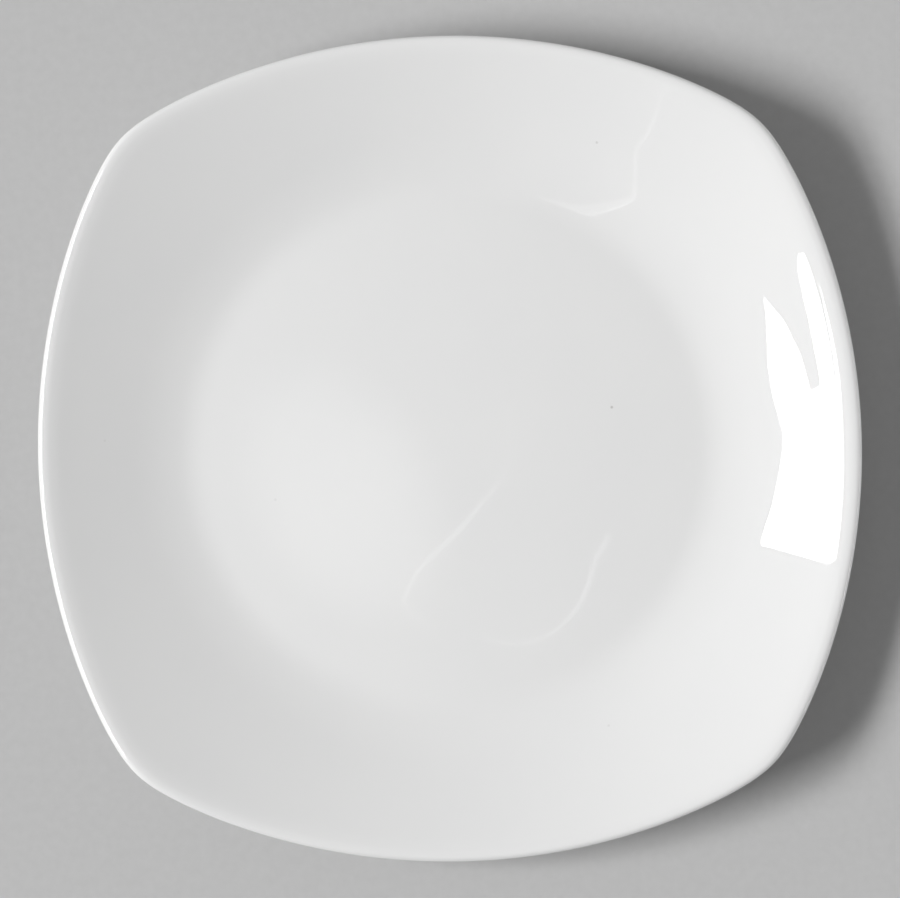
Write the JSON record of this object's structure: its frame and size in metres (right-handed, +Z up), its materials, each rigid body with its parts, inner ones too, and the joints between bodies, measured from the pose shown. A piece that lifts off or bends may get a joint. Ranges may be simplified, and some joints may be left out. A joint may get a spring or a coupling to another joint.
{
  "type": "square dinner plate",
  "caption": "Soft-square dinner plate with bowed sides, lifted corners, a round well and a rounded lip, on a round foot ring.",
  "frame": {"origin": "on the table plane that the foot ring stands on, under the middle of the plate", "axes": "+Z up, out of the well; +X and +Y through the middles of two neighbouring sides"},
  "size_m": [0.26, 0.26, 0.0269],
  "materials": {
    "white_glaze": "gloss, clear glaze over white porcelain",
    "bare_porcelain": "matte, unglazed and rubbed smooth"
  },
  "bodies": {
    "root": {"porcelain_body": "bare_porcelain", "glaze_coat": "white_glaze", "recess_glaze": "white_glaze"}
  },
  "joints": []
}
